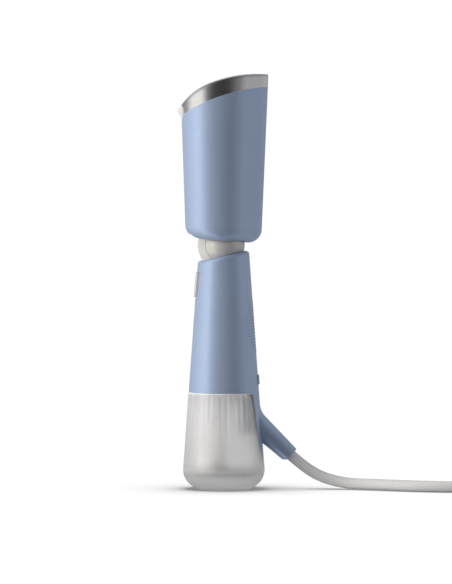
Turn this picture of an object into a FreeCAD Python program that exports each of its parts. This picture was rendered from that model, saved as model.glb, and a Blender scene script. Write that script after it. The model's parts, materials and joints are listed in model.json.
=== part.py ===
"""Handheld garment steamer, standing on its water tank, with its mains cord laid out beside it.

Units are millimetres and degrees.  +Z runs up the body's axis, -X is the front (the trigger side,
towards which the head tips) and +X is the back, where the cord leaves.  The origin is the centre of
the tank's flat base.
"""
import FreeCAD, Part
import Sketcher
import math
import os
import re

V = FreeCAD.Vector

# ---------------------------------------------------------------- driving dimensions
SIZES = {
    # one straight cone carries the tank and the handle: radius at the floor and loss per mm of height
    "cone_radius": 33.7, "cone_slope": 0.0709,
    "wall": 2.2,
    # water tank
    "tank_corner": 16.0, "tank_top": 76.8, "tank_floor": 11.4,
    "tank_proud": 0.15, "tank_wall": 2.0, "lid_top": 77.7, "lid_thickness": 3.4,
    "flute_count": 40, "flute_depth": 0.45, "flute_radius": 3.4, "flute_bottom": 26.0,
    "coupling_x": -4.0, "nipple_radius": 3.5, "nipple_bore": 2.0, "socket_radius": 7.0,
    "suction_radius": 2.5, "fill_x": -16.5, "fill_radius": 4.6,
    # tongue of the handle behind the tank, and the way for the leads inside it
    "spine_top_x": 23.7, "spine_mid_x": 28.0, "spine_mid": 36.6, "spine_tip_x": 31.6, "spine_tip": 23.8,
    "spine_gap": 0.12, "duct_x": 20.5, "duct_radius": 5.4, "duct_bore": 3.6, "duct_bottom": 46.5,
    "hose_radius": 2.0, "lead_radius": 1.6,
    # slanted cord outlet
    "outlet_x": 53.6, "outlet_level": 26.9, "outlet_angle": 43.0, "outlet_radius": 6.9,
    "outlet_taper": 0.06, "outlet_length": 36.0, "outlet_bore": 5.4,
    "bend_x": 45.2, "bend_level": 69.5, "bend_inner": 16.4, "bend_tube": 8.8,
    "bend_start": 181.0, "bend_sweep": 46.0,
    # handle
    "handle_bottom": 77.9, "rim_level": 186.95, "rim_angle": 12.5, "rim_round": 2.8,
    "deck_bottom": 78.3, "deck_thickness": 3.0, "boss_radius": 3.6,
    "trigger_bottom": 153.6, "trigger_top": 173.4, "trigger_half_width": 8.0, "trigger_proud": 1.4,
    "trigger_pin_x": -16.5, "trigger_pin_level": 170.2, "trigger_pin_radius": 1.25,
    "release_bottom": 83.9, "release_height": 7.9, "release_half_width": 6.0, "release_proud": 1.0,
    "release_inner_x": 24.0,
    # neck joint
    "ball_level": 195.5, "ball_radius": 16.7, "ball_wall": 2.2, "shroud_radius": 20.9,
    "shroud_inner": 16.9, "shroud_half_width": 8.0, "shroud_top": 203.8, "shroud_sweep": 26.2,
    "pivot_level": 203.8, "pin_radius": 3.0, "bush_radius": 4.2, "running_gap": 0.05,
    "arm_outer": 8.6, "arm_thickness": 2.6, "eye_radius": 5.4,
    # head: plan outline is a broad front round joined by flat sides to a tighter back round
    "head_low": 190.0, "head_high": 345.0,
    "front_low_x": -30.2, "front_high_x": -35.4, "front_low_radius": 26.5, "front_high_radius": 32.0,
    "back_low_x": 29.6, "back_high_x": 36.2, "back_low_radius": 13.0, "back_high_radius": 16.0,
    "head_wall": 2.0, "head_bottom_level": 199.1, "head_bottom_angle": 5.2, "head_bottom_round": 11.0,
    # curved face: a long arc over the back and a tighter one over the front, tangent to each other
    "face_x": 28.0, "face_level": 225.0, "face_radius": 107.0,
    "brow_x": 6.25, "brow_level": 277.6, "brow_radius": 50.0,
    "band_x": 37.6, "band_level": 197.3, "band_radius": 124.6,
    "plate_thickness": 1.6, "gasket_thickness": 1.6,
    "boiler_bottom": 262.0, "boiler_lid": 4.0, "shield_level": 246.0, "frame_level": 222.0,
    "lens_x": -21.5, "lens_level": 285.4, "lens_radius": 4.3,
    # mains cord
    "cord_radius": 4.5, "coil_x": 244.5, "coil_y": 12.5, "coil_mean": 50.0, "coil_width": 18.0,
    "coil_height": 27.0, "plug_x": 299.0, "plug_y": 24.0, "plug_level": 33.5,
    "grip_width": 26.0, "grip_length": 30.0, "grip_height": 13.0, "grip_round": 5.0,
    "relief_length": 12.0, "relief_small": 5.4, "relief_big": 6.4, "plug_bore_depth": 13.0,
    "prong_radius": 2.4, "prong_length": 19.0, "prong_offset": 9.5,
}

doc = FreeCAD.newDocument("GarmentSteamer")
sheet = doc.addObject("Spreadsheet::Sheet", "Sizes")
for row, (alias, value) in enumerate(SIZES.items(), 1):
    sheet.set(f"A{row}", alias)
    sheet.set(f"B{row}", str(value))
    sheet.setAlias(f"B{row}", alias)
doc.recompute()

NODES = {}


# ---------------------------------------------------------------- small helpers
def size(alias):
    """Read one driving dimension."""
    return float(sheet.get(alias))


def full(expression):
    """Turn the aliases in an expression into references to the sheet."""
    return re.sub(r"[a-z]\w*", lambda m: "Sizes." + m[0] if m[0] in SIZES else m[0], str(expression))


def bind(thing, name, expression):
    """Bind a property of an object to the sheet."""
    thing.setExpression(name, full(expression))


def put(thing, at, rotation=None):
    """Place an object, with its position bound to the sheet."""
    if rotation is not None:
        thing.Placement.Rotation = rotation
    for axis, expression in zip("xyz", at):
        bind(thing, f"Placement.Base.{axis}", expression)
    return thing


ALONG = {
    "X": FreeCAD.Rotation(V(0, 0, 1), V(1, 0, 0)),
    "Y": FreeCAD.Rotation(V(0, 0, 1), V(0, 1, 0)),
    "Z": FreeCAD.Rotation(),
}


def box(lengths, at, rotation=None):
    """A box from its lowest corner."""
    thing = doc.addObject("Part::Box", "Box")
    for name, expression in zip(("Length", "Width", "Height"), lengths):
        bind(thing, name, expression)
    return put(thing, at, rotation)


def cylinder(radius, height, at, along="Z"):
    thing = doc.addObject("Part::Cylinder", "Cylinder")
    bind(thing, "Radius", radius)
    bind(thing, "Height", height)
    return put(thing, at, ALONG.get(along, along))


def cone(low_radius, high_radius, height, at, along="Z"):
    thing = doc.addObject("Part::Cone", "Cone")
    bind(thing, "Radius1", low_radius)
    bind(thing, "Radius2", high_radius)
    bind(thing, "Height", height)
    return put(thing, at, ALONG.get(along, along))


def ball(radius, at):
    thing = doc.addObject("Part::Sphere", "Sphere")
    bind(thing, "Radius", radius)
    return put(thing, at)


def fuse(*things):
    thing = doc.addObject("Part::MultiFuse", "Fusion")
    thing.Shapes = list(things)
    return thing


def cut(base, *tools):
    thing = doc.addObject("Part::Cut", "Cut")
    thing.Base = base
    thing.Tool = tools[0] if len(tools) == 1 else fuse(*tools)
    return thing


def common(*things):
    thing = doc.addObject("Part::MultiCommon", "Common")
    thing.Shapes = list(things)
    return thing


def group(*things):
    """Separate solids that share one node."""
    thing = doc.addObject("Part::Compound", "Group")
    thing.Links = list(things)
    return thing


def tube(outer, inner, height, at, along="Z"):
    return cut(cylinder(outer, height, at, along), cylinder(inner, height, at, along))


def rounded(base, radius, chosen):
    """Round the edges of an object that a test picks."""
    doc.recompute()
    thing = doc.addObject("Part::Fillet", "Rounded")
    thing.Base = base
    picked = [n for n, edge in enumerate(base.Shape.Edges, 1) if chosen(edge)]
    thing.Edges = [(n, radius, radius) for n in picked]
    return thing


def node(label, thing):
    """Name an object as one of the steamer's pieces."""
    thing.Label = label
    NODES[label] = thing
    return thing


def origin_plane(body, role):
    return next(item for item in body.Origin.OriginFeatures if item.Role == role)


def outline(sketch, corners):
    """Close a loop of straight edges whose corners are bound to the sheet."""
    points = [V(*(evaluate(value) for value in corner), 0) for corner in corners]
    count = len(points)
    for n in range(count):
        sketch.addGeometry(Part.LineSegment(points[n], points[(n + 1) % count]))
    for n in range(count):
        sketch.addConstraint(Sketcher.Constraint("Coincident", n, 2, (n + 1) % count, 1))
    for n, corner in enumerate(corners):
        for kind, expression in zip(("DistanceX", "DistanceY"), corner):
            index = sketch.addConstraint(Sketcher.Constraint(kind, n, 1, evaluate(expression)))
            sketch.setExpression(f"Constraints[{index}]", full(expression))


scratch = doc.addObject("App::FeaturePython", "Scratch")


def evaluate(expression):
    """The present value of an expression, for a sketch's first geometry."""
    return float(scratch.evalExpression(full(expression)))


def turned(corners):
    """A body turned about its own Z axis from a half outline of (radius, height) corners."""
    body = doc.addObject("PartDesign::Body", "Turned")
    sketch = body.newObject("Sketcher::SketchObject", "HalfOutline")
    sketch.AttachmentSupport = (origin_plane(body, "XZ_Plane"), [""])
    sketch.MapMode = "FlatFace"
    outline(sketch, corners)
    turn = body.newObject("PartDesign::Revolution", "Turn")
    turn.Profile = sketch
    turn.ReferenceAxis = (sketch, ["V_Axis"])
    turn.Angle = 360
    return body


def slab(corners, width):
    """A body padded evenly to both sides of the XZ plane from (x, z) corners."""
    body = doc.addObject("PartDesign::Body", "Slab")
    sketch = body.newObject("Sketcher::SketchObject", "SideOutline")
    sketch.AttachmentSupport = (origin_plane(body, "XZ_Plane"), [""])
    sketch.MapMode = "FlatFace"
    outline(sketch, corners)
    pad = body.newObject("PartDesign::Pad", "Width")
    pad.Profile = sketch
    bind(pad, "Length", width)
    pad.SideType = "Symmetric"
    return body


def half_space(level, tilt, top):
    """A big block whose top or bottom face is a plane tilted about Y that crosses the axis at a level."""
    block = doc.addObject("Part::Box", "HalfSpace")
    block.Length = 160
    block.Width = 160
    block.Height = 60
    rotation = FreeCAD.Rotation(V(0, 1, 0), tilt)
    face_middle = V(80, 80, 60 if top else 0)
    corner = V(0, 0, evaluate(level)) - rotation.multVec(face_middle)
    block.Placement = FreeCAD.Placement(corner, rotation)
    return block


def above_rim(level):
    """Everything above the handle's rim plane, which rises towards the back."""
    return half_space(level, -size("rim_angle"), False)


def below_head(level):
    """Everything below the head's bottom plane, which falls towards the back."""
    return half_space(level, size("head_bottom_angle"), True)


def route_wire(points, share=0.45):
    """Straight runs joined by tangent arcs as large as the shorter run at each point allows."""
    edges = []
    start = points[0]
    radii = []
    for before, corner, after in zip(points, points[1:], points[2:]):
        back = (before - corner).normalize()
        onward = (after - corner).normalize()
        reach = share * min(before.distanceToPoint(corner), after.distanceToPoint(corner))
        half_turn = (math.pi - back.getAngle(onward)) / 2
        radius = reach / math.tan(half_turn)
        radii.append(radius)
        centre = corner + (back + onward).normalize() * (radius / math.cos(half_turn))
        middle = centre + (corner - centre).normalize() * radius
        edges.append(Part.LineSegment(start, corner + back * reach).toShape())
        edges.append(Part.Arc(corner + back * reach, middle, corner + onward * reach).toShape())
        start = corner + onward * reach
    edges.append(Part.LineSegment(start, points[-1]).toShape())
    return Part.Wire(edges), radii


def swept(points, radius, show=None):
    """A round lead, hose or cord along a route."""
    route = [V(*point) for point in points]
    path = doc.addObject("Part::Feature", "Route")
    path.Shape, radii = route_wire(route)
    section = doc.addObject("Part::Circle", "Section")
    bind(section, "Radius", radius)
    section.Placement = FreeCAD.Placement(route[0], FreeCAD.Rotation(V(0, 0, 1), route[1] - route[0]))
    thing = doc.addObject("Part::Sweep", "Swept")
    thing.Sections = [section]
    thing.Spine = (path, [f"Edge{n + 1}" for n in range(len(path.Shape.Edges))])
    thing.Solid = True
    thing.Frenet = False
    if show:
        doc.recompute()
        ideal = math.pi * evaluate(radius) ** 2 * path.Shape.Length
        print(show, "length", round(path.Shape.Length, 1), "radii", [round(r, 1) for r in radii])
        print(show, "volume", round(thing.Shape.Volume), "section times length", round(ideal))
    return thing


# ---------------------------------------------------------------- shared forms
def cone_piece(low, high, offset="0"):
    """A stretch of the body's cone between two heights, grown by an offset."""
    low_radius = f"cone_radius - cone_slope * ({low}) + ({offset})"
    high_radius = f"cone_radius - cone_slope * ({high}) + ({offset})"
    return cone(low_radius, high_radius, f"({high}) - ({low})", (0, 0, low))


def behind_spine_line(gap="0"):
    """The side region behind the line where the tongue meets the tank, grown by a gap."""
    corners = [
        (f"spine_top_x - 3.4 - ({gap})", "handle_bottom + 0.6"),
        (f"spine_top_x - 3.2 - ({gap})", f"handle_bottom - 0.2 - ({gap})"),
        (f"spine_top_x - 1.4 - ({gap})", f"handle_bottom - 0.9 - ({gap})"),
        (f"spine_top_x - 0.4 - ({gap})", f"handle_bottom - 2.2 - ({gap})"),
        (f"spine_top_x - ({gap})", f"handle_bottom - 4.2 - ({gap})"),
        (f"spine_mid_x - ({gap})", "spine_mid"),
        (f"spine_tip_x - ({gap})", f"spine_tip - ({gap})"),
        ("60", f"spine_tip - ({gap})"),
        ("60", "handle_bottom + 0.6"),
    ]
    return slab(corners, "90")


def outlet_direction():
    angle = math.radians(size("outlet_angle"))
    return V(math.cos(angle), 0, -math.sin(angle))


def on_outlet_axis(depth):
    """A point on the outlet's axis, a depth inside its mouth."""
    return V(size("outlet_x"), 0, size("outlet_level")) - outlet_direction() * depth


def outlet_cylinder(radius, depth, length):
    """A cylinder on the outlet's axis that starts at a depth and runs out towards the mouth."""
    thing = doc.addObject("Part::Cylinder", "OutletCylinder")
    bind(thing, "Radius", radius)
    bind(thing, "Height", length)
    rotation = FreeCAD.Rotation(V(0, 0, 1), outlet_direction())
    thing.Placement = FreeCAD.Placement(on_outlet_axis(evaluate(depth)), rotation)
    return thing


def plan_outline(level, edge_inset):
    """The head's plan outline at one level, drawn in by an inset."""
    sketch = doc.addObject("Sketcher::SketchObject", "PlanOutline")
    bind(sketch, "Placement.Base.z", f"head_{level}")
    front_radius = f"front_{level}_radius - ({edge_inset})"
    back_radius = f"back_{level}_radius - ({edge_inset})"
    front_x = f"front_{level}_x + front_{level}_radius"
    back_x = f"back_{level}_x - back_{level}_radius"
    front, back = evaluate(front_radius), evaluate(back_radius)
    front_centre, back_centre = V(evaluate(front_x), 0, 0), V(evaluate(back_x), 0, 0)
    tilt = math.acos((front - back) / (back_centre.x - front_centre.x))
    ray = V(math.cos(tilt), math.sin(tilt), 0)
    mirrored = V(ray.x, -ray.y, 0)
    up = V(0, 0, 1)
    sketch.addGeometry(Part.ArcOfCircle(Part.Circle(front_centre, up, front), tilt, 2 * math.pi - tilt))
    sketch.addGeometry(Part.ArcOfCircle(Part.Circle(back_centre, up, back), -tilt, tilt))
    sketch.addGeometry(Part.LineSegment(back_centre + ray * back, front_centre + ray * front))
    sketch.addGeometry(Part.LineSegment(front_centre + mirrored * front, back_centre + mirrored * back))
    for line, line_end, arc, arc_end in ((2, 1, 1, 2), (2, 2, 0, 1), (3, 1, 0, 2), (3, 2, 1, 1)):
        sketch.addConstraint(Sketcher.Constraint("Tangent", line, line_end, arc, arc_end))
    sketch.addConstraint(Sketcher.Constraint("PointOnObject", 0, 3, -1))
    sketch.addConstraint(Sketcher.Constraint("PointOnObject", 1, 3, -1))
    for kind, arc, expression in (("X", 0, front_x), ("X", 1, back_x), ("R", 0, front_radius),
                                  ("R", 1, back_radius)):
        if kind == "X":
            rule = Sketcher.Constraint("DistanceX", arc, 3, evaluate(expression))
        else:
            rule = Sketcher.Constraint("Radius", arc, evaluate(expression))
        index = sketch.addConstraint(rule)
        sketch.setExpression(f"Constraints[{index}]", full(expression))
    return sketch


def head_column(inset="0"):
    """The head's tapering column before its bottom and its face are cut, drawn in by an inset."""
    thing = doc.addObject("Part::Loft", "HeadColumn")
    thing.Sections = [plan_outline("low", inset), plan_outline("high", inset)]
    thing.Solid = True
    thing.Ruled = True
    return thing


def head_form(inset="0"):
    """The head's column with its sloping, rounded bottom."""
    open_form = cut(head_column(inset), below_head(f"head_bottom_level + ({inset})"))
    radius = size("head_bottom_round") - evaluate(inset)
    return rounded(open_form, radius, lambda edge: edge.BoundBox.ZMax < 212)


def under_face(drop="0"):
    """Everything under the head's curved face, lowered by a drop."""
    seam = f"brow_x - (face_x - brow_x) * (brow_radius - ({drop})) / (face_radius - brow_radius)"
    face = cylinder(f"face_radius - ({drop})", 100, ("face_x", -50, "face_level"), "Y")
    brow = cylinder(f"brow_radius - ({drop})", 100, ("brow_x", -50, "brow_level"), "Y")
    over_back = common(face, box((120, 100, 260), (seam, -50, 150)))
    over_front = common(brow, box((100, 100, 260), (f"{seam} - 100", -50, 150)))
    stem = box((100, 100, 130), (f"{seam} - 100", -50, 150))
    return fuse(over_back, over_front, stem)


def under_band():
    """Everything under the line where the steel band starts."""
    return cylinder("band_radius", 100, ("band_x", -50, "band_level"), "Y")


# ---------------------------------------------------------------- handle
SCREWS = ((13.0, 165.0), (-17.5, 130.0), (-18.5, 94.0))


def outlet_bend():
    """The blend above the outlet: a stretch of ring that meets the tongue and the outlet tangentially."""
    thing = doc.addObject("Part::Torus", "OutletBend")
    bind(thing, "Radius1", "bend_inner + bend_tube")
    bind(thing, "Radius2", "bend_tube")
    bind(thing, "Angle3", "bend_sweep")
    upright = FreeCAD.Rotation(V(1, 0, 0), 90)
    start = FreeCAD.Rotation(V(0, 0, 1), size("bend_start"))
    return put(thing, ("bend_x", 0, "bend_level"), upright * start)


def outlet_branch():
    """Straight, slightly tapered cord outlet that leans out of the tongue."""
    length = size("outlet_length")
    thing = doc.addObject("Part::Cone", "OutletBranch")
    bind(thing, "Radius1", "outlet_radius + outlet_taper * outlet_length")
    bind(thing, "Radius2", "outlet_radius")
    bind(thing, "Height", "outlet_length")
    facing = FreeCAD.Rotation(V(0, 0, 1), outlet_direction())
    thing.Placement = FreeCAD.Placement(on_outlet_axis(length), facing)
    return rounded(thing, 1.0, lambda edge: edge.BoundBox.Center.x > size("outlet_x") - 2)


def handle_form():
    """Outer form of both half shells: cone, tongue, duct and cord outlet."""
    grip = cut(cone_piece("handle_bottom", "200"), above_rim("rim_level"))
    grip = rounded(grip, size("rim_round"), lambda edge: edge.BoundBox.ZMin > 175)
    tongue = common(cone_piece("spine_tip - 2", "handle_bottom + 0.5"), behind_spine_line())
    duct = cylinder("duct_radius", "handle_bottom + 0.5 - duct_bottom", ("duct_x", 0, "duct_bottom"))
    branch = common(fuse(outlet_branch(), outlet_bend()), behind_spine_line())
    return fuse(grip, tongue, branch, duct)


def handle_void():
    """What is hollow inside the handle, tongue and outlet, less the screw bosses."""
    grip = cut(cone_piece("handle_bottom - 1", "200", "-wall"), above_rim("rim_level - 2.6"))
    bosses = [cylinder("boss_radius", 60, (x, -30, z), "Y") for x, z in SCREWS]
    pin_bosses = [cylinder("2.8", 12, ("trigger_pin_x", y, "trigger_pin_level"), "Y") for y in (-20.4, 8.4)]
    duct = cylinder("duct_bore", 40, ("duct_x", 0, "duct_bottom + 5"))
    throat = outlet_cylinder("outlet_bore", "26", "30")
    way_in = outlet_cylinder("duct_bore - 0.2", "48", "30")
    return cut(fuse(grip, duct, throat, way_in), switch_ribs(), *bosses, *pin_bosses)


def handle_shells():
    whole = cut(handle_form(), handle_void())
    neck_hole = ball("ball_radius", (0, 0, "ball_level"))
    spigot_hole = cylinder("12.1", 30, (0, 0, 168))
    trigger_window = box(
        (20, "2 * trigger_half_width + 0.7", "trigger_top - trigger_bottom + 1.5"),
        (-32, "-trigger_half_width - 0.35", "trigger_bottom - 1.15"))
    release_window = box(
        (20, "2 * release_half_width + 0.6", "release_height + 0.6"),
        (16, "-release_half_width - 0.3", "release_bottom - 0.3"))
    pin_hole = cylinder("trigger_pin_radius + running_gap", 22,
                        ("trigger_pin_x", -11, "trigger_pin_level"), "Y")
    shanks = [cylinder("1.5", 20, (x, -10, z), "Y") for x, z in SCREWS]
    ways = [cylinder("1.7", 15, (x, 0, z), "Y") for x, z in SCREWS]
    heads = [cylinder("3.0", 20, (x, 9.5, z), "Y") for x, z in SCREWS]
    open_shell = cut(whole, neck_hole, spigot_hole, trigger_window, release_window, pin_hole,
                     *shanks, *ways, *heads)
    node("handle_shell_left", common(open_shell, box((200, 60, 220), (-60, -60, 0))))
    node("handle_shell_right", common(open_shell, box((200, 60, 220), (-60, 0, 0))))
    screws = []
    for x, z in SCREWS:
        shank = cylinder("1.5", 19, (x, -9.5, z), "Y")
        head = cut(cylinder("2.7", 2.2, (x, 9.5, z), "Y"), box((3.4, 3, 0.8), (x - 1.7, 10.6, z - 0.4)))
        screws.append(fuse(shank, head))
    node("handle_screws", group(*screws))


def bottom_deck():
    disc_radius = "cone_radius - cone_slope * deck_bottom - wall - 0.5"
    disc = cylinder(disc_radius, "deck_thickness", (0, 0, "deck_bottom"))
    nipple_hole = cylinder("nipple_radius", 10, ("coupling_x", 0, "deck_bottom - 2"))
    lead_hole = cylinder("duct_bore", 10, ("duct_x", 0, "deck_bottom - 2"))
    latch_slot = box((12, 8, 10), (1.5, -10.5, "deck_bottom - 2"))
    spring_post = box((2, 5, 8.5), ("release_inner_x - 9.2", -4.8, "deck_bottom + deck_thickness - 0.5"))
    node("bottom_deck", fuse(cut(disc, nipple_hole, lead_hole, latch_slot), spring_post))


def water_coupling():
    corners = [
        ("nipple_bore", "66"), ("nipple_radius", "66"), ("nipple_radius", "70.5"), ("2.7", "70.5"),
        ("2.7", "72.5"), ("nipple_radius", "72.5"), ("nipple_radius", "deck_bottom + deck_thickness"),
        ("6.5", "deck_bottom + deck_thickness"), ("6.5", "deck_bottom + deck_thickness + 2"),
        ("3.2", "deck_bottom + deck_thickness + 2"), ("3.2", "91"), ("nipple_bore", "91"),
    ]
    node("water_coupling", put(turned(corners), ("coupling_x", 0, 0)))
    ring = tube("4.9", "2.7", 2, ("coupling_x", 0, 70.5))
    node("coupling_seal", ring)


def pump():
    core = turned([
        ("1.5", "94"), ("3.0", "94"), ("3.0", "100"), ("5.5", "100"), ("5.5", "140"), ("3.0", "140"),
        ("3.0", "146"), ("1.5", "146"), ("1.5", "137"), ("4.0", "137"), ("4.0", "104"), ("1.5", "104"),
    ])
    node("pump_core_tube", core)
    node("pump_plunger", cut(cylinder("3.95", 18, (0, 0, 110)), cylinder("1.4", 18, (0, 0, 110))))
    node("plunger_spring", tube("3.6", "2.4", 9, (0, 0, 128)))
    coil = cut(cylinder("10.6", 22, (0, 0, 109)), cylinder("5.5", 22, (0, 0, 109)))
    node("pump_coil", coil)
    plates = fuse(
        box((18, 24, 1.6), (-9, -12, 107.4)), box((18, 24, 1.6), (-9, -12, 131)),
        box((18, 1.4, 25.2), (-9, -12, 107.4)), box((18, 1.4, 25.2), (-9, 10.6, 107.4)))
    node("pump_yoke", cut(plates, cylinder("5.5", 40, (0, 0, 100))))
    pads = [tube("8.5", "5.5", 4, (0, 0, z)) for z in (103.4, 132.6)]
    node("pump_rubber_mounts", group(*pads))
    arms = box((4, 40, 3), (-2, -20, 100.4))
    cradle = cut(fuse(arms, cylinder("8.5", 3, (0, 0, 100.4))), cylinder("5.5", 10, (0, 0, 98)))
    node("pump_cradle", common(cradle, cone_piece("90", "120", "-wall - 0.1")))
    node("suction_hose", cut(cylinder("3.9", 6.6, (0, 0, 91.9)), cylinder("3.0", 5, (0, 0, 94)),
                             cylinder("1.6", 20, (0, 0, 85))))


def hoses_and_leads():
    lower_hose = ((0, 0, 146), (0, 0, 158), (1, -1, 172), (0, -2.1, 188), (0, -2.1, 201.8))
    node("pressure_hose", swept(lower_hose, "hose_radius"))
    node("head_hose", swept(((0, -2.1, 205.8), (0, -2.1, 220), (2, -2, 236), (0, 0, 251.9)), "hose_radius"))
    node("head_leads", swept(((0, 2.2, 205.6), (0, 2.2, 218), (5, 6, 236), (9, 8, 250)), "lead_radius"))
    to_neck = ((10.5, 6, 151), (8, 5, 160), (4, 4, 172), (0.3, 2.2, 188), (0, 2.2, 202))
    neck_leads = swept(to_neck, "lead_radius")
    from_cord = (tuple(on_outlet_axis(14.1)), tuple(on_outlet_axis(40)), (20.0, 0, 62), (20.4, 0, 80),
                 (17.2, 6.4, 92), (16.9, 8.3, 101))
    switch_leads = swept(((-9, 0, 155.6), (-6, 4, 149), (4, 9, 144), (12.4, 9, 141)), "1.2")
    node("wiring_harness", group(neck_leads, swept(from_cord, "lead_radius"), switch_leads))


def electronics():
    node("control_board", box((1.6, 26, 52), (13, -13, 98)))
    relay = box((6, 9, 16), (14.6, -4.5, 128))
    capacitor = cylinder("3.8", 16, (18.4, 0, 109))
    terminals = box((4.5, 12, 7), (14.6, -6, 99))
    node("board_components", group(relay, capacitor, terminals))
    body = box((9, 6.4, 12.4), (-13.5, -3.2, 158))
    button = cylinder("1.2", 1, (-14.3, 0, 165.5), "X")
    node("trigger_switch", fuse(body, button))


def switch_ribs():
    """Moulded ribs that hold the trigger's switch and spring."""
    seat = box((1.5, 60, 7.5), (-13.5, -30, 150.4))
    shelf = box((9, 60, 1.6), (-13.5, -30, 156.4))
    return fuse(seat, shelf)


def trigger():
    low = "cone_radius - cone_slope * trigger_bottom + trigger_proud + 0.2"
    high = "cone_radius - cone_slope * trigger_top + trigger_proud - 0.3"
    skin = cone(low, high, "trigger_top - trigger_bottom", (0, 0, "trigger_bottom"))
    front = box((10, "2 * trigger_half_width", 40), (-27.6, "-trigger_half_width", 145))
    face = rounded(common(skin, front), 1.2, lambda edge: edge.BoundBox.XMax < -21.5)
    lug = cylinder("2.5", 14, ("trigger_pin_x", -7, "trigger_pin_level"), "Y")
    web = box((3.5, 14, 3.2), (-19, -7, "trigger_pin_level - 1.6"))
    pin_hole = cylinder("trigger_pin_radius", 30, ("trigger_pin_x", -15, "trigger_pin_level"), "Y")
    node("trigger_button", cut(fuse(face, web, lug), pin_hole))
    pin = cylinder("trigger_pin_radius", 20, ("trigger_pin_x", -10, "trigger_pin_level"), "Y")
    node("trigger_pin", pin)
    node("trigger_spring", tube("2.2", "1.4", 3.8, (-17.4, 0, 154.6), "X"))


def tank_release():
    skin = cone_piece("80", "100", "release_proud")
    front = box((12, "2 * release_half_width", "release_height"),
                ("release_inner_x", "-release_half_width", "release_bottom"))
    node("release_button", rounded(common(skin, front), 0.8, lambda edge: edge.BoundBox.XMin > 26.5))
    arm = box(("release_inner_x - 7.5", 4, 3), (6, -9, 84.4))
    hook = box((3, 4, "84.4 - 72"), (6, -9, 72))
    toe = box((1, 4, 2), (9, -9, 72))
    tab = box((1.5, 3, 3), ("release_inner_x - 1.5", -7.5, 84.4))
    node("latch_plate", fuse(arm, hook, toe, tab))
    node("latch_spring", tube("1.6", "1.0", 7, ("release_inner_x - 7", -2.5, 87.5), "X"))


def neck():
    middle = (0, 0, "ball_level")
    shell = cut(ball("ball_radius", middle), ball("ball_radius - ball_wall", middle))
    spigot = tube("12", "9.6", 11, (0, 0, 171))
    top_way = box((19, 18.2, 30), (-12.5, -9.1, 201))
    low_way = cylinder("9.6", 20, (0, 0, 166))
    bosses = [cylinder("6.2", 6, (0, y, "pivot_level"), "Y") for y in (-15.1, 9.1)]
    inside = common(fuse(*bosses), ball("ball_radius", (0, 0, "ball_level")))
    bores = [cylinder("bush_radius", 4.2, (0, y, "pivot_level"), "Y") for y in (-13.3, 9.1)]
    node("neck_ball", cut(fuse(shell, spigot, inside), top_way, low_way, *bores))
    bushes = [tube("bush_radius", "pin_radius + running_gap", 4, (0, y, "pivot_level"), "Y")
              for y in (-13.3, 9.3)]
    node("hinge_bushes", group(*bushes))
    drum = cylinder("shroud_radius", "2 * shroud_half_width", (0, "-shroud_half_width", "ball_level"), "Y")
    ring = cut(drum, ball("shroud_inner", (0, 0, "ball_level")))
    window = box((20, 30, "shroud_top - 180"), (-28, -15, 180))
    handle_top = cut(box((60, 80, 30), (-40, -40, 165)), above_rim("rim_level + 0.02"))
    node("neck_shroud", cut(common(ring, window), handle_top))
    leaf = box((24, 1.8, 0.5), (-12, 5.8, 197))
    nib = cylinder("0.6", 1.8, (0, 5.8, "pivot_level - eye_radius - 0.75"), "Y")
    posts = box((3, 1.8, 0.9), (-1.5, 5.8, 197.2))
    held = common(fuse(leaf, posts), ball("ball_radius - ball_wall - 0.02", (0, 0, "ball_level")))
    node("click_spring", fuse(held, nib))


def head_hinge():
    plate = common(box((50, 60, 3), (-25, -30, "frame_level")), head_form("head_wall + 0.05"))
    arms = []
    for y in ("-arm_outer", "arm_outer - arm_thickness"):
        eye = cylinder("eye_radius", "arm_thickness", (0, y, "pivot_level"), "Y")
        strap = box((9, "arm_thickness", "frame_level - pivot_level"), (-4.5, y, "pivot_level"))
        arms += [eye, strap]
    way = cylinder("6", 10, (0, 0, "frame_level - 5"))
    lead_way = cylinder("4", 10, (4, 5, "frame_level - 5"))
    pin_holes = cylinder("pin_radius", 60, (0, -30, "pivot_level"), "Y")
    notches = []
    for angle in (270, 246.5, 223):
        at = (f"(eye_radius + 0.3) * cos({angle})", "arm_outer - arm_thickness - 1",
              f"pivot_level + (eye_radius + 0.3) * sin({angle})")
        notches.append(cylinder("0.9", 5, at, "Y"))
    node("hinge_frame", cut(fuse(plate, *arms), way, lead_way, pin_holes, *notches))
    pins = []
    inner_face = "arm_outer - arm_thickness"
    for shank_at, cap_at in (("-13.1", f"-({inner_face})"), (f"{inner_face} - 1", f"{inner_face} - 1")):
        shank = cylinder("pin_radius", f"14.1 - ({inner_face})", (0, shank_at, "pivot_level"), "Y")
        pins.append(fuse(shank, cylinder("4", 1, (0, cap_at, "pivot_level"), "Y")))
    node("hinge_pins", group(*pins))


def head_shells():
    hollow = head_form("head_wall")
    skin = cut(common(head_form(), under_band()), hollow)
    rest_way = cylinder("ball_radius + 0.7", 16, (0, 0, 192))
    tipped_way = cylinder("ball_radius + 0.7", 16, (-6, 0, 192))
    between = box((6, "2 * (ball_radius + 0.7)", 16), (-6, "-ball_radius - 0.7", 192))
    slot_width = "2 * shroud_half_width + 0.8"
    sweep = cylinder("shroud_sweep", slot_width, (0, "-shroud_half_width - 0.4", "pivot_level"), "Y")
    slot = box((40, slot_width, "pivot_level - 189.5"), (-50, "-shroud_half_width - 0.4", 190))
    shroud_way = fuse(slot, common(sweep, box((40, 40, 60), (-50, -20, 170))))
    skin = cut(skin, rest_way, tipped_way, between, shroud_way, lens_cylinder("lens_radius + 0.05", 8),
               lip_block())
    node("head_shell_left", common(skin, box((120, 60, 200), (-60, -60, 180))))
    node("head_shell_right", common(skin, box((120, 60, 200), (-60, 0, 180))))


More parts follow.
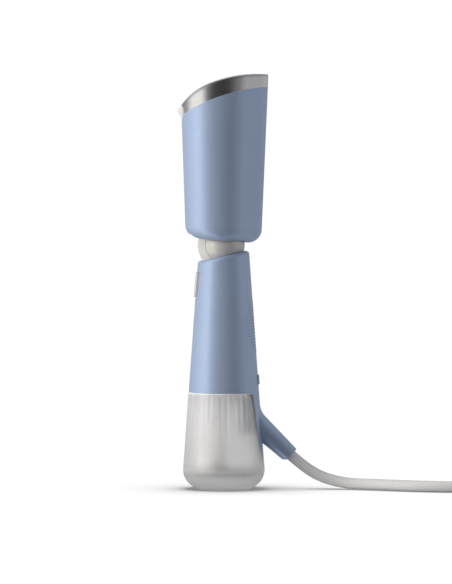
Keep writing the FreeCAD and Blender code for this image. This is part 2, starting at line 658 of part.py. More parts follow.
def lens_cylinder(radius, depth):
    """A cylinder square to the head's left flank at the indicator."""
    share = "(lens_level - head_low) / (head_high - head_low)"
    round_radius = evaluate(f"front_low_radius + (front_high_radius - front_low_radius) * {share}")
    centre_x = evaluate(f"front_low_x + (front_high_x - front_low_x) * {share}") + round_radius
    across = size("lens_x") - centre_x
    outward = V(across, -math.sqrt(round_radius ** 2 - across ** 2), 0).normalize()
    surface = V(centre_x, 0, size("lens_level")) + outward * round_radius
    thing = doc.addObject("Part::Cylinder", "LensCylinder")
    bind(thing, "Radius", radius)
    bind(thing, "Height", depth)
    thing.Placement = FreeCAD.Placement(surface - outward * 2.2, FreeCAD.Rotation(V(0, 0, 1), outward))
    return thing


def lip_block():
    """Small wedge at the front of the head, where the face ends: broad above and pointed below."""
    corners = [
        ("-37.2", "303.3"), ("-35.2", "305.3"), ("-31.5", "307.2"), ("-31.5", "296.2"), ("-33.9", "295.8"),
    ]
    block = slab(corners, "11")
    return rounded(block, 0.7, lambda edge: edge.BoundBox.XMax < -35 and edge.BoundBox.YLength > 10)


def face_parts():
    ring = cut(common(head_form(), under_face("plate_thickness")), under_band(), head_form("1.4"))
    node("rim_band", cut(ring, lip_block()))
    node("front_lip", cut(lip_block(), head_form("2.4")))
    holes = []
    for n in range(14):
        turn = 360 / 14 * n
        holes.append(cylinder("1.2", 120, (f"-2 + 21 * cos({turn})", f"17 * sin({turn})", 240)))
    for n in range(8):
        turn = 45 * n
        holes.append(cylinder("1.2", 120, (f"-2 + 12 * cos({turn})", f"9 * sin({turn})", 240)))
    sheet_form = cut(common(head_form("0.3"), under_face()), under_face("plate_thickness"))
    node("steam_plate", cut(sheet_form, lip_block(), *holes))
    drop = "plate_thickness + gasket_thickness"
    band_form = cut(common(head_form("4"), under_face("plate_thickness")), under_face(drop))
    node("plate_gasket", cut(band_form, head_form("7")))
    block = cut(common(head_form("4"), under_face(drop)), all_below("boiler_bottom"))
    chamber = common(head_form("9"), under_face("0"))
    chamber_cut = cut(chamber, all_below("boiler_bottom + 22"))
    channel = heater_channel("3.2")
    node("boiler_block", cut(block, chamber_cut, channel))
    cover = cut(head_form("5"), all_below("boiler_bottom - boiler_lid"), all_above("boiler_bottom"))
    inlet = cylinder("2.4", 20, (0, 0, 250))
    nozzle = tube("4", "2.4", 6, (0, 0, "boiler_bottom - boiler_lid - 6"))
    node("boiler_cover", fuse(cut(cover, inlet), nozzle))
    node("heating_element", heater_channel("3.1"))
    node("thermostat", cylinder("6", 6, (18, -1, "boiler_bottom - boiler_lid - 6")))
    node("thermal_fuse", cylinder("2", 12, (-18, 8, "boiler_bottom - boiler_lid - 2"), "Y"))
    shield = cut(head_form("2.3"), all_below("shield_level"), all_above("shield_level + 0.8"))
    ways = [cylinder("3.4", 6, (0.5, 0, "shield_level - 3")), cylinder("3.4", 6, (8, 7.6, "shield_level - 3"))]
    posts, bores = [], []
    for x, y in ((-13, -13), (-13, 13), (10, -14), (12, 13)):
        posts.append(cylinder("2.5", "boiler_bottom - boiler_lid - frame_level - 3", (x, y, "frame_level + 3")))
        bores.append(cylinder("2.5", 20, (x, y, "shield_level - 10")))
    node("heat_shield", cut(shield, *ways, *bores))
    node("boiler_posts", group(*posts))
    lens = common(lens_cylinder("lens_radius", 8), head_form())
    node("indicator_lens", cut(lens, head_form("1.9")))


def all_above(level):
    """A block wider than the head that starts at a level."""
    return box((120, 120, 200), (-60, -60, level))


def all_below(level):
    """A block wider than the head that ends at a level."""
    return box((120, 120, 200), (-60, -60, f"{level} - 200"))


def heater_channel(radius):
    """U-shaped tubular heater in the boiler block's floor."""
    level = size("boiler_bottom") + 9.5
    points = ((21, -6.5, level), (8, -9.5, level), (-8, -13, level), (-17, -9, level), (-20, 0, level),
              (-17, 9, level), (-8, 13, level), (8, 9.5, level), (21, 6.5, level))
    return swept(points, radius)


def tank():
    corner = "tank_corner"
    outer_top = "cone_radius - cone_slope * tank_top + tank_proud"
    side = "cone_radius - cone_slope * tank_corner + tank_proud"
    outer = turned([("0", "0"), (side, "0"), (side, corner), (outer_top, "tank_top"), ("0", "tank_top")])
    outer = rounded(outer, size("tank_corner") - 0.2, lambda edge: edge.BoundBox.ZMax < 0.1)
    inner_low = "cone_radius - cone_slope * tank_floor - tank_wall"
    inner_top = "cone_radius - cone_slope * tank_top - tank_wall"
    inner = turned([("0", "tank_floor"), (inner_low, "tank_floor"), (inner_top, "tank_top + 1"),
                    ("0", "tank_top + 1")])
    inner = rounded(inner, 9.0, lambda edge: edge.BoundBox.ZMax < size("tank_floor") + 0.1)
    spine_skin = behind_spine_line("spine_gap + tank_wall")
    duct_skin = cylinder("duct_radius + 0.5 + tank_wall", 60, ("duct_x", 0, "duct_bottom - 2.6"))
    hollow = cut(inner, spine_skin, duct_skin)
    body = cut(outer, *handle_ways(), hollow, *flutes())
    node("tank_shell", body)
    lid_disc = cone_piece("tank_top", "lid_top", "tank_proud")
    plug = cone_piece("lid_top - lid_thickness", "tank_top", "-tank_wall - 0.1")
    plug = cut(plug, behind_spine_line("spine_gap + tank_wall + 0.1"),
               cylinder("duct_radius + 0.6 + tank_wall", 60, ("duct_x", 0, "duct_bottom")))
    lid = cut(fuse(lid_disc, plug), *handle_ways(),
              cylinder("socket_radius", 20, ("coupling_x", 0, 66)),
              cylinder("fill_radius", 20, ("fill_x", 0, 66)),
              box((9.5, 7, 10), (2.5, -10.5, 70)))
    lip = box((2, 7, 2.0), (10.1, -10.5, "lid_top - lid_thickness"))
    node("tank_lid", fuse(lid, lip))
    valve = turned([
        ("1.6", "56"), ("3.0", "56"), ("3.0", "61"), ("socket_radius", "61"), ("socket_radius", "lid_top"),
        ("5.0", "lid_top"), ("5.0", "63"), ("1.6", "63"),
    ])
    node("tank_valve", put(valve, ("coupling_x", 0, 0)))
    node("suction_tube", tube("suction_radius + 2.0", "suction_radius + 0.5", 41, ("coupling_x", 0, 19)))
    node("tube_filter", cut(cylinder("6", 5, ("coupling_x", 0, "tank_floor + 1.6")),
                            cylinder("4", 3.4, ("coupling_x", 0, "tank_floor + 3.2"))))
    node("fill_plug", cylinder("fill_radius", 5, ("fill_x", 0, "lid_top - 5")))


def handle_ways():
    """Room in the tank and its lid for the handle's tongue and duct."""
    duct_way = cylinder("duct_radius + 0.5", 60, ("duct_x", 0, "duct_bottom - 0.6"))
    return behind_spine_line("spine_gap"), duct_way


def flutes():
    """Shallow upright grooves round the tank that run out towards its foot."""
    count = int(size("flute_count"))
    run_out = size("flute_depth") / (size("tank_top") - size("flute_bottom"))
    lean = math.degrees(math.atan(size("cone_slope") + run_out))
    cutters = []
    for n in range(count):
        turn = 360 / count * (n + 0.5)
        surface = size("cone_radius") - size("cone_slope") * size("flute_bottom") + size("tank_proud")
        reach = surface + size("flute_radius")
        rotation = FreeCAD.Rotation(V(0, 0, 1), turn) * FreeCAD.Rotation(V(0, 1, 0), -lean)
        at = V(reach * math.cos(math.radians(turn)), reach * math.sin(math.radians(turn)), size("flute_bottom"))
        thing = doc.addObject("Part::Cylinder", "Flute")
        bind(thing, "Radius", "flute_radius")
        bind(thing, "Height", "tank_top - flute_bottom + 2")
        thing.Placement = FreeCAD.Placement(at, rotation)
        cutters.append(thing)
    return cutters


# ---------------------------------------------------------------- cord
CORD_ROUTE = (
    (43.36, 0.0, 36.45), (58.7, 0.0, 22.13), (76.2, -0.4, 9.9), (97.7, -4.0, 4.5), (119.0, -12.5, 4.5),
    (139.5, -25.0, 4.5), (161.0, -36.0, 4.5), (186.0, -41.5, 4.5), (212.0, -42.6, 4.5), (232.0, -42.0, 4.5),
)
TAIL_ROUTE = (
    (235.8, -42.3, 22.5), (257.0, -41.6, 23.2), (276.3, -33.0, 26.2),
    (291.1, -17.7, 30.2), (299.0, 1.9, 33.5), (299.0, 22.9, 33.5),
)


def mains_cord():
    node("power_cord", swept(CORD_ROUTE, "cord_radius", "power_cord"))
    node("cord_tail", swept(TAIL_ROUTE, "cord_radius", "cord_tail"))
    coil = tube("coil_mean + coil_width / 2", "coil_mean - coil_width / 2", "coil_height",
                ("coil_x", "coil_y", 0))
    node("cord_coil", coil)
    gland = outlet_cylinder("outlet_bore - 0.05", "14", "11")
    node("cord_gland", cut(gland, outlet_cylinder("cord_radius", "25", "30")))
    clamp = outlet_cylinder("outlet_bore - 0.1", "17.2", "3")
    node("cord_clamp", cut(clamp, outlet_cylinder("lead_radius + 0.1", "22", "12")))
    at = ("plug_x - grip_width / 2", "plug_y", "plug_level - grip_height / 2")
    grip = rounded(box(("grip_width", "grip_length", "grip_height"), at), size("grip_round"),
                   lambda edge: edge.BoundBox.YLength > 20)
    relief = cone("relief_small", "relief_big", "relief_length + 1",
                  ("plug_x", "plug_y - relief_length", "plug_level"), "Y")
    cord_way = cylinder("cord_radius", "plug_bore_depth",
                        ("plug_x", "plug_y - relief_length - 1", "plug_level"), "Y")
    node("plug_body", cut(fuse(grip, relief), cord_way))
    prongs = []
    for side in ("plug_x - prong_offset", "plug_x + prong_offset"):
        base = (side, "plug_y + grip_length", "plug_level")
        prongs.append(cylinder("prong_radius", "prong_length", base, "Y"))
    node("plug_pins", group(*prongs))


def finish():
    """Check every object and every piece, then write the pieces."""
    doc.recompute()
    for thing in doc.Objects:
        if "Invalid" in thing.State or "Error" in thing.State:
            raise RuntimeError(f"{thing.Name} ({thing.Label}) failed: {thing.State}")
    for label, thing in NODES.items():
        if thing.Shape.isNull() or not thing.Shape.isValid() or not thing.Shape.Solids:
            raise RuntimeError(f"{label} has no valid solid")
    os.makedirs("parts", exist_ok=True)
    for label, thing in NODES.items():
        thing.Shape.exportStep(f"parts/{label}.step")
    print(len(NODES), "nodes")


handle_shells()
bottom_deck()
water_coupling()
pump()
hoses_and_leads()
electronics()
trigger()
tank_release()
neck()
head_hinge()
head_shells()
face_parts()
tank()
mains_cord()
finish()
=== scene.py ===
"""Garment steamer: finishes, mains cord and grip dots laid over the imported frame.

Metres throughout. +Z runs up the handle, -X is the trigger side and +X the cord side.
"""
import json
import math

import bpy
from mathutils import Matrix, Vector


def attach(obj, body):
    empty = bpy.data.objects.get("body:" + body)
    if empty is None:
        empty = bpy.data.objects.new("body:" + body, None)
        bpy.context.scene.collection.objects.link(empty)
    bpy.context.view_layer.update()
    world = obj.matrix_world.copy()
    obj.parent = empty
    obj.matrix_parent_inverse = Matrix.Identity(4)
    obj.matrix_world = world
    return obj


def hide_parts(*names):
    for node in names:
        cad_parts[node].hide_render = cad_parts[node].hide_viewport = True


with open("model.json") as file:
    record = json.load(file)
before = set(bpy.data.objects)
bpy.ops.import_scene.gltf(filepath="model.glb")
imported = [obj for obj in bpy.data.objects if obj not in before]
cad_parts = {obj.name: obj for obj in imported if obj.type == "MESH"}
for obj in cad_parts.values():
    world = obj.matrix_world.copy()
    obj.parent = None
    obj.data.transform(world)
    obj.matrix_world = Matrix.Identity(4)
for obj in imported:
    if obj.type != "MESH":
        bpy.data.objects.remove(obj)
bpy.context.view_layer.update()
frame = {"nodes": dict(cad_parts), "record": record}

NODES = frame["nodes"]


# ------------------------------------------------------------------ camera
CAMERA_DISTANCE = 6.0
CAMERA_ELEVATION = math.radians(2.5)
VIEW_HEIGHT = 0.4672      # height of the view where the handle's axis stands
AIM = Vector((0.0017, 0.0, 0.1578))


def set_camera():
    """A long lens that looks along +Y, and slightly down."""
    data = bpy.data.cameras.new("camera")
    data.sensor_width = 36.0
    data.lens = data.sensor_width * CAMERA_DISTANCE / VIEW_HEIGHT
    data.clip_start = 0.05
    data.clip_end = 60.0
    camera = bpy.data.objects.new("camera", data)
    bpy.context.scene.collection.objects.link(camera)
    back = Vector((0.0, -math.cos(CAMERA_ELEVATION), math.sin(CAMERA_ELEVATION)))
    camera.location = AIM + CAMERA_DISTANCE * back
    camera.rotation_euler = (math.pi / 2 - CAMERA_ELEVATION, 0.0, 0.0)
    bpy.context.scene.camera = camera
    bpy.context.scene.view_settings.view_transform = "Standard"


set_camera()


# ------------------------------------------------------------------ mains cord
CORD_DIAMETER = 0.009
LEAD_OUT = (
    (0.04336, 0.0, 0.03645), (0.0587, 0.0, 0.02213), (0.0762, -0.0004, 0.0099),
    (0.0977, -0.0040, 0.0045), (0.1190, -0.0125, 0.0045), (0.1395, -0.0250, 0.0045),
    (0.1610, -0.0360, 0.0045), (0.1860, -0.0415, 0.0045), (0.2120, -0.0426, 0.0045),
)
TO_PLUG = ((0.2990, 0.0125, 0.0335), (0.2990, 0.0229, 0.0335))
COIL_CENTRE = Vector((0.2445, 0.0125))
OUTER_TURN = 0.0545
INNER_TURN = 0.0455
POINTS_PER_TURN = 16
ROUNDING = 1.0195         # the spline runs this much inside its control points on a full circle
LEVELS = (0.0045, 0.0135, 0.0225, 0.0335)
# degrees of winding over which the cord moves in or out a turn, and up a level
RADIUS_CHANGES = ((300, 360), (910, 970), (1510, 1580), (1700, 1780))
LEVEL_CHANGES = ((620, 690), (1220, 1290), (1760, 1850))
COIL_START = -90          # bearing at which the winding begins
COIL_END = 1870


def eased(travel, start, end):
    """0 before a stretch of the winding, 1 after it, smooth between."""
    share = min(1.0, max(0.0, (travel - start) / (end - start)))
    return share * share * (3 - 2 * share)


def coil_points():
    """Outer and inner turns wound in three layers, then a rise to the plug's level."""
    points = []
    step = 360 / POINTS_PER_TURN
    travel = step
    while travel <= COIL_END:
        inner = sum((-1) ** n * eased(travel, *change) for n, change in enumerate(RADIUS_CHANGES))
        level = LEVELS[0]
        for change, low, high in zip(LEVEL_CHANGES, LEVELS, LEVELS[1:]):
            level += (high - low) * eased(travel, *change)
        reach = (OUTER_TURN + (INNER_TURN - OUTER_TURN) * inner) * ROUNDING
        angle = math.radians(COIL_START + travel)
        place = COIL_CENTRE + reach * Vector((math.cos(angle), math.sin(angle)))
        points.append((place.x, place.y, level))
        travel += step
    return points


def lay_cord():
    """One open spline from inside the outlet to the plug; its thickness is in the points' radius."""
    route = list(LEAD_OUT) + coil_points() + list(TO_PLUG)
    curve = bpy.data.curves.new("mains_cord", "CURVE")
    curve.dimensions = "3D"
    spline = curve.splines.new("NURBS")
    spline.points.add(len(route) - 1)
    for point, place in zip(spline.points, route):
        point.co = (*place, 1.0)
        point.radius = CORD_DIAMETER / 2
    spline.order_u = 3
    spline.use_endpoint_u = True
    spline.resolution_u = 6
    curve.bevel_depth = 1.0
    curve.bevel_resolution = 5
    curve.use_fill_caps = True
    cord = bpy.data.objects.new("mains_cord", curve)
    bpy.context.scene.collection.objects.link(cord)
    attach(cord, "handle")
    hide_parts("power_cord", "cord_tail", "cord_coil")
    return cord


cord = lay_cord()


# ------------------------------------------------------------------ modelling helpers
def nothing_selected():
    bpy.ops.object.select_all(action="DESELECT")


def finished(piece, body):
    """Put the piece's place into its mesh and let it ride with a body."""
    nothing_selected()
    piece.select_set(True)
    bpy.context.view_layer.objects.active = piece
    bpy.ops.object.transform_apply(location=True, rotation=True, scale=True)
    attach(piece, body)
    return piece


# ------------------------------------------------------------------ grip dots on the back of the handle
DOT_RADIUS = 0.00065
DOT_HEIGHT = 0.0004
DOT_FOOT = 0.00008        # how far a dot's foot is sunk in the shell
DOT_PITCH = 0.0029
FIELD_LEVEL = 0.1305
FIELD_HALF_HEIGHT = 0.0215
FIELD_HALF_WIDTH = 0.0190
CONE_RADIUS = 0.0337      # the handle's cone at the floor's level, and what it loses per metre of height
CONE_SLOPE = 0.0709


def one_dot():
    """A low dome: a ten-sided disc drawn up and in twice."""
    nothing_selected()
    bpy.ops.mesh.primitive_circle_add(vertices=10, radius=DOT_RADIUS, fill_type="NGON")
    dot = bpy.context.active_object
    bpy.ops.object.mode_set(mode="EDIT")
    bpy.ops.mesh.select_all(action="SELECT")
    bpy.ops.mesh.extrude_region_move(TRANSFORM_OT_translate={"value": (0, 0, DOT_HEIGHT * 0.6)})
    bpy.ops.transform.resize(value=(0.86, 0.86, 1))
    bpy.ops.mesh.extrude_region_move(TRANSFORM_OT_translate={"value": (0, 0, DOT_HEIGHT * 0.4)})
    bpy.ops.transform.resize(value=(0.5, 0.5, 1))
    bpy.ops.mesh.select_all(action="SELECT")
    bpy.ops.mesh.normals_make_consistent(inside=False)
    bpy.ops.object.mode_set(mode="OBJECT")
    return dot


def grip_dots():
    """Staggered rows of domes filling a rounded field on the back of the handle."""
    dot = one_dot()
    lean = math.atan(CONE_SLOPE)
    copies = []
    row_pitch = DOT_PITCH * math.sqrt(3) / 2
    rows = int(FIELD_HALF_HEIGHT / row_pitch)
    for row in range(-rows, rows + 1):
        level = FIELD_LEVEL + row * row_pitch
        radius = CONE_RADIUS - CONE_SLOPE * level
        half = FIELD_HALF_WIDTH * math.sqrt(max(0.0, 1 - (row * row_pitch / FIELD_HALF_HEIGHT) ** 2))
        count = int(half / DOT_PITCH + 1)
        for column in range(-count, count + 1):
            along = (column + 0.5 * (row % 2)) * DOT_PITCH
            if abs(along) > half:
                continue
            angle = along / radius
            copy = dot.copy()
            copy.data = dot.data.copy()
            place = Vector((radius * math.cos(angle), radius * math.sin(angle), level))
            turn = Matrix.Rotation(angle, 4, "Z") @ Matrix.Rotation(math.pi / 2 - lean, 4, "Y")
            copy.matrix_world = Matrix.Translation(place) @ turn @ Matrix.Translation((0, 0, -DOT_FOOT))
            bpy.context.scene.collection.objects.link(copy)
            copies.append(copy)
    bpy.data.objects.remove(dot)
    nothing_selected()
    for copy in copies:
        copy.select_set(True)
    bpy.context.view_layer.objects.active = copies[0]
    bpy.ops.object.join()
    field = bpy.context.active_object
    field.name = "grip_dots"
    field.data.name = "grip_dots"
    return finished(field, "handle")


dots = grip_dots()


# ------------------------------------------------------------------ shared effects
def effect(name, inputs, outputs):
    """An empty node group with number inputs and outputs."""
    group = bpy.data.node_groups.new(name, "ShaderNodeTree")
    for label, value in inputs.items():
        socket = group.interface.new_socket(label, in_out="INPUT", socket_type="NodeSocketFloat")
        socket.default_value = value
    for label in outputs:
        group.interface.new_socket(label, in_out="OUTPUT", socket_type="NodeSocketFloat")
    return group, group.nodes.new("NodeGroupInput"), group.nodes.new("NodeGroupOutput")


def link(tree, source, target):
    tree.links.new(source, target)


def moulded_grain():
    """Spark-eroded mould texture, with slow clouding for colour and gloss."""
    group, start, end = effect("moulded_grain", {"Grain": 1500.0, "Cloud": 30.0}, ("Height", "Clouding"))
    place = group.nodes.new("ShaderNodeTexCoord")
    fine = group.nodes.new("ShaderNodeTexNoise")
    fine.inputs["Detail"].default_value = 3.0
    fine.inputs["Roughness"].default_value = 0.6
    cloud = group.nodes.new("ShaderNodeTexNoise")
    cloud.inputs["Detail"].default_value = 4.0
    cloud.inputs["Roughness"].default_value = 0.5
    for texture, scale in ((fine, "Grain"), (cloud, "Cloud")):
        link(group, place.outputs["Object"], texture.inputs["Vector"])
        link(group, start.outputs[scale], texture.inputs["Scale"])
    link(group, fine.outputs["Fac"], end.inputs["Height"])
    link(group, cloud.outputs["Fac"], end.inputs["Clouding"])
    return group


def brushed_lines():
    """Fine level brush marks running round the piece."""
    group, start, end = effect("brushed_lines", {"Fineness": 900.0, "Stretch": 0.02}, ("Height", "Streak"))
    place = group.nodes.new("ShaderNodeTexCoord")
    squeeze = group.nodes.new("ShaderNodeCombineXYZ")
    squeeze.inputs["Z"].default_value = 1.0
    link(group, start.outputs["Stretch"], squeeze.inputs["X"])
    link(group, start.outputs["Stretch"], squeeze.inputs["Y"])
    shape = group.nodes.new("ShaderNodeVectorMath")
    shape.operation = "MULTIPLY"
    link(group, place.outputs["Object"], shape.inputs[0])
    link(group, squeeze.outputs["Vector"], shape.inputs[1])
    lines = group.nodes.new("ShaderNodeTexNoise")
    lines.inputs["Detail"].default_value = 5.0
    lines.inputs["Roughness"].default_value = 0.65
    link(group, shape.outputs["Vector"], lines.inputs["Vector"])
    link(group, start.outputs["Fineness"], lines.inputs["Scale"])
    link(group, lines.outputs["Fac"], end.inputs["Height"])
    link(group, lines.outputs["Fac"], end.inputs["Streak"])
    return group


GRAIN = moulded_grain()
BRUSHED = brushed_lines()


def srgb(red, green, blue):
    """A colour given as display values from 0 to 255."""
    def linear(value):
        value /= 255
        return value / 12.92 if value <= 0.04045 else ((value + 0.055) / 1.055) ** 2.4
    return (linear(red), linear(green), linear(blue), 1.0)


def blank_material(name):
    """A new material, its node tree and its shader."""
    material = bpy.data.materials.new(name)
    material.use_nodes = True
    return material, material.node_tree, material.node_tree.nodes["Principled BSDF"]


def put_group(tree, group, **values):
    """A shared effect in a material, with its inputs set."""
    node = tree.nodes.new("ShaderNodeGroup")
    node.node_tree = group
    for label, value in values.items():
        node.inputs[label].default_value = value
    return node


def two_tones(tree, mask, dark, pale, target):
    """Mix two colours by a mask into a colour socket."""
    mix = tree.nodes.new("ShaderNodeMix")
    mix.data_type = "RGBA"
    mix.inputs["A"].default_value = dark
    mix.inputs["B"].default_value = pale
    link(tree, mask, mix.inputs["Factor"])
    link(tree, mix.outputs["Result"], target)


def map_range(tree, source, start, end, low, high):
    """Take a value from between start and end to between low and high."""
    step = tree.nodes.new("ShaderNodeMapRange")
    for label, value in (("From Min", start), ("From Max", end), ("To Min", low), ("To Max", high)):
        step.inputs[label].default_value = value
    link(tree, source, step.inputs["Value"])
    return step


def spread(tree, mask, low, high, target):
    """Stretch the middle of a noise mask between two values into a number socket."""
    step = map_range(tree, mask, 0.3, 0.7, low, high)
    link(tree, step.outputs["Result"], target)


def relief(tree, height, shader, depth):
    """A bump of a real depth in metres."""
    bump = tree.nodes.new("ShaderNodeBump")
    bump.inputs["Distance"].default_value = depth
    bump.inputs["Strength"].default_value = 1.0
    link(tree, height, bump.inputs["Height"])
    link(tree, bump.outputs["Normal"], shader.inputs["Normal"])


def shade(colour, factor):
    """A colour made darker or paler by a factor."""
    return (colour[0] * factor, colour[1] * factor, colour[2] * factor, 1.0)


def moulded(name, colour, roughness=0.45, grain=1500.0, depth=0.00004, clouding=0.03, metallic=0.0):
    """A moulded plastic with fine grain."""
    material, tree, shader = blank_material(name)
    texture = put_group(tree, GRAIN, Grain=grain, Cloud=30.0)
    dark, pale = shade(colour, 1 - clouding), shade(colour, 1 + clouding)
    two_tones(tree, texture.outputs["Clouding"], dark, pale, shader.inputs["Base Color"])
    low, high = roughness - 0.03, roughness + 0.03
    spread(tree, texture.outputs["Clouding"], low, high, shader.inputs["Roughness"])
    relief(tree, texture.outputs["Height"], shader, depth)
    shader.inputs["Metallic"].default_value = metallic
    return material


def metal(name, colour, roughness=0.28, fineness=900.0, depth=0.00002):
    """A bare metal with level brush marks."""
    material, tree, shader = blank_material(name)
    texture = put_group(tree, BRUSHED, Fineness=fineness, Stretch=0.02)
    dark, pale = shade(colour, 0.93), shade(colour, 1.05)
    two_tones(tree, texture.outputs["Streak"], dark, pale, shader.inputs["Base Color"])
    low, high = roughness - 0.04, roughness + 0.05
    spread(tree, texture.outputs["Streak"], low, high, shader.inputs["Roughness"])
    relief(tree, texture.outputs["Height"], shader, depth)
    shader.inputs["Metallic"].default_value = 1.0
    return material


TANK_TOP = 0.0768
# tone of the tank's plastic by level, with painted light: painted shade on the thick floor, a painted
# highlight along the floor's edge, the wall, and a pale rim
TANK_TONES_AND_PAINTED_LIGHT = (
    (0.000, (212, 212, 212)), (0.009, (224, 224, 224)), (0.0125, (230, 230, 230)),
    (0.0150, (254, 254, 254)), (0.0180, (236, 236, 236)), (0.0300, (235, 235, 235)),
    (0.0500, (237, 237, 238)), (0.0740, (238, 238, 239)), (TANK_TOP, (250, 250, 250)),
)


def level_tones(tree, tones, top):
    """A colour that changes with height above the floor, from (level, colour) stops."""
    place = tree.nodes.new("ShaderNodeTexCoord")
    parts = tree.nodes.new("ShaderNodeSeparateXYZ")
    link(tree, place.outputs["Object"], parts.inputs["Vector"])
    share = map_range(tree, parts.outputs["Z"], 0.0, top, 0.0, 1.0)
    ramp = tree.nodes.new("ShaderNodeValToRGB")
    stops = ramp.color_ramp.elements
    for level, colour in tones[1:-1]:
        stops.new(level / top)
    for stop, (level, colour) in zip(stops, tones):
        stop.color = srgb(*colour)
    link(tree, share.outputs["Result"], ramp.inputs["Fac"])
    return ramp.outputs["Color"]


def frosted():
    """Frosted clear plastic of the water tank, with painted shade darkening its thick floor and a painted
    highlight along the floor's edge.
    """
    material, tree, shader = blank_material("frosted_tank")
    texture = put_group(tree, GRAIN, Grain=1100.0, Cloud=45.0)
    # these level tones carry painted shade low on the tank and a painted highlight at the floor's edge
    tones = level_tones(tree, TANK_TONES_AND_PAINTED_LIGHT, TANK_TOP)
    mottle = map_range(tree, texture.outputs["Height"], 0.0, 1.0, 0.94, 1.06)
    mixed = tree.nodes.new("ShaderNodeMix")
    mixed.data_type = "RGBA"
    mixed.blend_type = "MULTIPLY"
    mixed.inputs["Factor"].default_value = 1.0
    link(tree, tones, mixed.inputs["A"])
    link(tree, mottle.outputs["Result"], mixed.inputs["B"])
    link(tree, mixed.outputs["Result"], shader.inputs["Base Color"])
    spread(tree, texture.outputs["Clouding"], 0.40, 0.48, shader.inputs["Roughness"])
    relief(tree, texture.outputs["Height"], shader, 0.00006)
    shader.inputs["Transmission Weight"].default_value = 0.86
    shader.inputs["IOR"].default_value = 1.45
    return material


HOUSING = srgb(160, 178, 205)
FINISHES = {
    "housing": moulded("satin_blue", HOUSING, roughness=0.36, metallic=0.45),
    "neck_grey": moulded("pale_neck", srgb(190, 189, 187), roughness=0.35, depth=0.00002, metallic=0.35),
    "shroud_grey": moulded("pale_shroud", srgb(236, 236, 234), roughness=0.4, depth=0.00002),
    "button_grey": moulded("button_satin", srgb(176, 177, 182), roughness=0.35, depth=0.00002),
    "tank_clear": frosted(),
    "tank_white": moulded("tank_white", srgb(222, 223, 226), roughness=0.35),
    "band_steel": metal("band_steel", srgb(232, 230, 227), roughness=0.20),
    "plate_metal": metal("plate_coated", srgb(205, 205, 207), roughness=0.38),
    # the lip's near-white colour is partly its own pale colour and partly a painted highlight, standing
    # for the glint on a small polished lip
    "lip_white": moulded("lip_white", srgb(250, 248, 244), roughness=0.2, depth=0.00001),
    "lens": moulded("mark_blue", srgb(160, 181, 208), roughness=0.36, metallic=0.45),
    "cast_alloy": metal("cast_alloy", srgb(170, 172, 174), roughness=0.5, fineness=400.0, depth=0.00008),
    "silicone": moulded("silicone_grey", srgb(150, 150, 152), roughness=0.6),
    "seal_rubber": moulded("seal_black", srgb(40, 40, 42), roughness=0.65),
    "hose": moulded("hose_milky", srgb(215, 214, 208), roughness=0.4),
    "cord_grey": moulded("cord_grey", srgb(202, 202, 202), roughness=0.5, grain=900.0),
    "wire": moulded("wire_red", srgb(176, 58, 48), roughness=0.4),
    "inner_plastic": moulded("inner_black", srgb(52, 53, 56), roughness=0.5),
    "coil_plastic": moulded("coil_green", srgb(70, 92, 76), roughness=0.4),
    "board": moulded("board_green", srgb(36, 96, 62), roughness=0.35),
    "board_parts": moulded("parts_black", srgb(34, 34, 36), roughness=0.4),
    "steel": metal("spring_steel", srgb(180, 182, 186), roughness=0.22),
    "brass": metal("pin_brass", srgb(204, 176, 110), roughness=0.22),
    "heater": metal("heater_sheath", srgb(122, 116, 110), roughness=0.4),
}


def dress(piece, material):
    """Give every material slot of a piece the one material."""
    slots = piece.data.materials
    if not slots:
        slots.append(material)
    for index in range(len(slots)):
        slots[index] = material


for entry in frame["record"]["subparts"]:
    dress(NODES[entry["node"]], FINISHES[entry["material_slot"]])
dress(cord, FINISHES["cord_grey"])
dress(dots, FINISHES["housing"])


# ------------------------------------------------------------------ studio
CENTRE = (0.0, 0.0, 0.17)
# brightness of the studio walls by bearing in degrees: 0 is the camera's side, -90 the trigger's side
WALLS = (
    (-180, 0.40), (-140, 0.36), (-115, 0.45), (-91, 1.00), (-72, 1.12), (-55, 1.00), (-40, 0.34),
    (-25, 0.12), (-10, 0.06), (4, 0.05), (18, 0.05), (33, 0.08), (48, 0.16), (65, 0.25), (85, 0.42),
    (110, 0.46), (140, 0.42), (180, 0.40),
)
WALL_TINT = (0.96, 0.98, 1.04)
NEUTRAL = (1.0, 1.0, 1.0)
WARM = (1.0, 0.95, 0.90)


def softbox(name, place, width, height, watts, tint=NEUTRAL):
    """An area lamp aimed at the object; the studio walls stand for it in reflections."""
    data = bpy.data.lights.new(name, "AREA")
    data.shape = "RECTANGLE"
    data.size = width
    data.size_y = height
    data.energy = watts
    data.color = tint
    lamp = bpy.data.objects.new(name, data)
    bpy.context.scene.collection.objects.link(lamp)
    lamp.location = place
    lamp.rotation_euler = (Vector(CENTRE) - Vector(place)).to_track_quat("-Z", "Y").to_euler()
    lamp.visible_glossy = False
    return lamp


def calculated(tree, operation, first, second=None):
    """One step of arithmetic; a number or another node's output on either side."""
    step = tree.nodes.new("ShaderNodeMath")
    step.operation = operation
    for socket, value in zip(step.inputs, (first, second)):
        if isinstance(value, (int, float)):
            socket.default_value = value
        elif value is not None:
            link(tree, value, socket)
    return step.outputs["Value"]


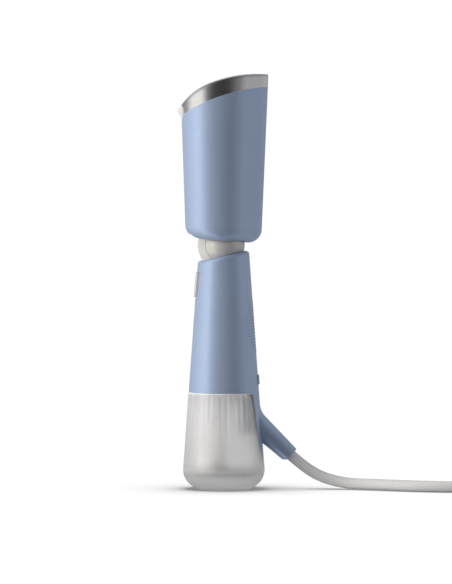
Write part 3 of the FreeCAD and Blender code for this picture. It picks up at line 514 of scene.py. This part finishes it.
def wall_brightness(tree):
    """Brightness of the studio walls in the direction looked at."""
    place = tree.nodes.new("ShaderNodeTexCoord")
    parts = tree.nodes.new("ShaderNodeSeparateXYZ")
    link(tree, place.outputs["Generated"], parts.inputs["Vector"])
    toward_camera = calculated(tree, "MULTIPLY", parts.outputs["Y"], -1.0)
    bearing = calculated(tree, "ARCTAN2", parts.outputs["X"], toward_camera)
    share = calculated(tree, "ADD", calculated(tree, "MULTIPLY", bearing, 0.5 / math.pi), 0.5)
    ramp = tree.nodes.new("ShaderNodeValToRGB")
    ramp.color_ramp.interpolation = "CARDINAL"
    stops = ramp.color_ramp.elements
    for angle, value in WALLS[1:-1]:
        stops.new(angle / 360 + 0.5)
    for stop, (angle, value) in zip(stops, WALLS):
        stop.color = (*(value * part for part in WALL_TINT), 1.0)
    link(tree, share, ramp.inputs["Fac"])
    return ramp.outputs["Color"]


def by_eye(tree, output_type, lit, shown):
    """Finish a tree: one shader for the eye, also through clear plastic, and another for all else."""
    path = tree.nodes.new("ShaderNodeLightPath")
    eye = calculated(tree, "MAXIMUM", path.outputs["Is Camera Ray"], path.outputs["Is Transmission Ray"])
    mix = tree.nodes.new("ShaderNodeMixShader")
    output = tree.nodes.new(output_type)
    link(tree, eye, mix.inputs["Fac"])
    link(tree, lit, mix.inputs[1])
    link(tree, shown, mix.inputs[2])
    link(tree, mix.outputs["Shader"], output.inputs["Surface"])


def world_light():
    """A white backdrop to the eye; soft walls of graded brightness to everything else."""
    world = bpy.data.worlds.new("studio")
    world.use_nodes = True
    bpy.context.scene.world = world
    tree = world.node_tree
    tree.nodes.clear()
    light = tree.nodes.new("ShaderNodeBackground")
    link(tree, wall_brightness(tree), light.inputs["Color"])
    shown = tree.nodes.new("ShaderNodeBackground")
    shown.inputs["Color"].default_value = (1.0, 1.0, 1.0, 1.0)
    by_eye(tree, "ShaderNodeOutputWorld", light.outputs["Background"], shown.outputs["Background"])


FLOOR_SIZE = 30.0
FLOOR_GREY = (0.62, 0.62, 0.62, 1.0)
SHADOW_REACH = 0.16
# how open the floor is to the sky under the object and clear of it, and its brightness at each
OPENNESS = (0.38, 0.99)
BRIGHTNESS = (0.26, 1.03)


def floor():
    """A pale floor: white to the eye except where the object shades it, and left out of reflections."""
    nothing_selected()
    bpy.ops.mesh.primitive_plane_add(size=FLOOR_SIZE, location=(0, 0, 0))
    plane = bpy.context.active_object
    plane.name = "floor"
    material = bpy.data.materials.new("floor")
    material.use_nodes = True
    tree = material.node_tree
    tree.nodes.clear()
    matt = tree.nodes.new("ShaderNodeBsdfDiffuse")
    matt.inputs["Color"].default_value = FLOOR_GREY
    openness = tree.nodes.new("ShaderNodeAmbientOcclusion")
    openness.samples = 24
    openness.inputs["Distance"].default_value = SHADOW_REACH
    shadow = map_range(tree, openness.outputs["AO"], *OPENNESS, *BRIGHTNESS)
    shadow.interpolation_type = "SMOOTHSTEP"
    white = tree.nodes.new("ShaderNodeEmission")
    link(tree, shadow.outputs["Result"], white.inputs["Strength"])
    by_eye(tree, "ShaderNodeOutputMaterial", matt.outputs["BSDF"], white.outputs["Emission"])
    plane.data.materials.append(material)
    plane.visible_glossy = False


world_light()
floor()
softbox("key", (-1.28, -0.52, 0.45), 0.5, 1.0, 24.0, tint=WARM)
softbox("fill", (1.3, -0.5, 0.4), 0.8, 1.0, 5.0)
softbox("top", (-0.2, -0.2, 1.7), 1.0, 1.0, 5.0)
